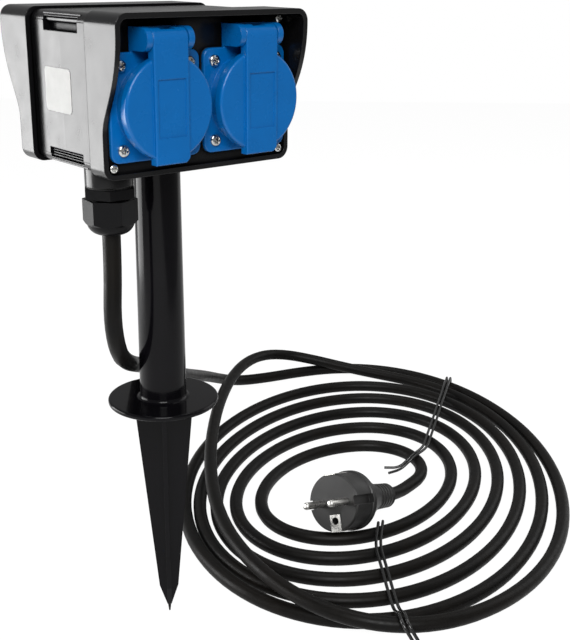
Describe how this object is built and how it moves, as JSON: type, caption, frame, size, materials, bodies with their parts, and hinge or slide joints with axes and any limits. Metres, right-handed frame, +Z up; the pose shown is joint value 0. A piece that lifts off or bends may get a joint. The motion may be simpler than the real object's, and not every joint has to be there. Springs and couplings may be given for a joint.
{
  "type": "garden socket spike",
  "caption": "Rainproof garden outlet box on a ground spike, with round spring-lidded sockets front and rear under hoods, and a coiled rubber lead with an earthed plug.",
  "frame": {"origin": "tip of the spike, on the ground", "axes": "+Z up along the pole, -Y out of the front sockets, +X to the right seen from the front"},
  "size_m": [0.4556, 0.4033, 0.3475],
  "materials": {
    "spike_plastic": "satin black moulding",
    "housing_plastic": "satin black moulding",
    "seal_rubber": "soft matt black rubber",
    "lid_plastic": "semi-gloss blue moulding",
    "screw_steel": "bright zinc plated steel",
    "spring_steel": "drawn spring steel",
    "pin_steel": "drawn steel pin",
    "contact_brass": "stamped brass",
    "carrier_plastic": "matt black insulator",
    "gland_plastic": "satin black nylon",
    "cord_rubber": "matt black rubber jacket",
    "core_plastic": "coloured core insulation",
    "plug_rubber": "matt black solid rubber",
    "plug_metal": "nickel plated brass",
    "tie_plastic": "plastic covered wire"
  },
  "bodies": {
    "base": {"ground_spike": "spike_plastic", "main_housing": "housing_plastic", "busbar_live": "contact_brass", "busbar_neutral": "contact_brass", "busbar_earth": "contact_brass", "gland_body": "gland_plastic", "gland_washer": "seal_rubber", "gland_cap_nut": "gland_plastic", "gland_seal": "seal_rubber", "cable_entry": "cord_rubber", "supply_cores": "core_plastic", "cable_lead": "cord_rubber", "cable_coil": "cord_rubber", "cable_tail": "cord_rubber", "plug_body": "plug_rubber", "plug_pins": "plug_metal", "plug_earth_contact": "plug_metal", "cable_tie_back": "tie_plastic", "cable_tie_front": "tie_plastic", "hood_frame_front": "housing_plastic", "frame_seal_front": "seal_rubber", "frame_screws_front": "screw_steel", "flange_screws_front": "screw_steel", "flange_gaskets_front": "seal_rubber", "contact_carriers_front": "carrier_plastic", "earth_contacts_front": "plug_metal", "pin_contacts_front": "contact_brass", "socket_body_front_left": "lid_plastic", "hinge_pin_front_left": "pin_steel", "lid_spring_front_left": "spring_steel", "socket_body_front_right": "lid_plastic", "hinge_pin_front_right": "pin_steel", "lid_spring_front_right": "spring_steel", "hood_frame_rear": "housing_plastic", "frame_seal_rear": "seal_rubber", "frame_screws_rear": "screw_steel", "flange_screws_rear": "screw_steel", "flange_gaskets_rear": "seal_rubber", "contact_carriers_rear": "carrier_plastic", "earth_contacts_rear": "plug_metal", "pin_contacts_rear": "contact_brass", "socket_body_rear_left": "lid_plastic", "hinge_pin_rear_left": "pin_steel", "lid_spring_rear_left": "spring_steel", "socket_body_rear_right": "lid_plastic", "hinge_pin_rear_right": "pin_steel", "lid_spring_rear_right": "spring_steel"},
    "lid_front_left": {"lid_front_left": "lid_plastic", "lid_seal_front_left": "seal_rubber"},
    "lid_front_right": {"lid_front_right": "lid_plastic", "lid_seal_front_right": "seal_rubber"},
    "lid_rear_left": {"lid_rear_left": "lid_plastic", "lid_seal_rear_left": "seal_rubber"},
    "lid_rear_right": {"lid_rear_right": "lid_plastic", "lid_seal_rear_right": "seal_rubber"}
  },
  "joints": [
    {"name": "lid_hinge_front_left", "type": "hinge", "parent": "base", "child": "lid_front_left", "pos_m": [-0.02625, -0.05, 0.3357], "axis": [-1, 0, 0], "range_deg": [0, 110], "stiffness_Nm_per_rad": 0.004, "springref_deg": -34.38},
    {"name": "lid_hinge_front_right", "type": "hinge", "parent": "base", "child": "lid_front_right", "pos_m": [0.02625, -0.05, 0.3357], "axis": [-1, 0, 0], "range_deg": [0, 110], "stiffness_Nm_per_rad": 0.004, "springref_deg": -34.38},
    {"name": "lid_hinge_rear_left", "type": "hinge", "parent": "base", "child": "lid_rear_left", "pos_m": [0.02625, 0.05, 0.3357], "axis": [1, 0, 0], "range_deg": [0, 110], "stiffness_Nm_per_rad": 0.004, "springref_deg": -34.38},
    {"name": "lid_hinge_rear_right", "type": "hinge", "parent": "base", "child": "lid_rear_right", "pos_m": [-0.02625, 0.05, 0.3357], "axis": [1, 0, 0], "range_deg": [0, 110], "stiffness_Nm_per_rad": 0.004, "springref_deg": -34.38}
  ]
}
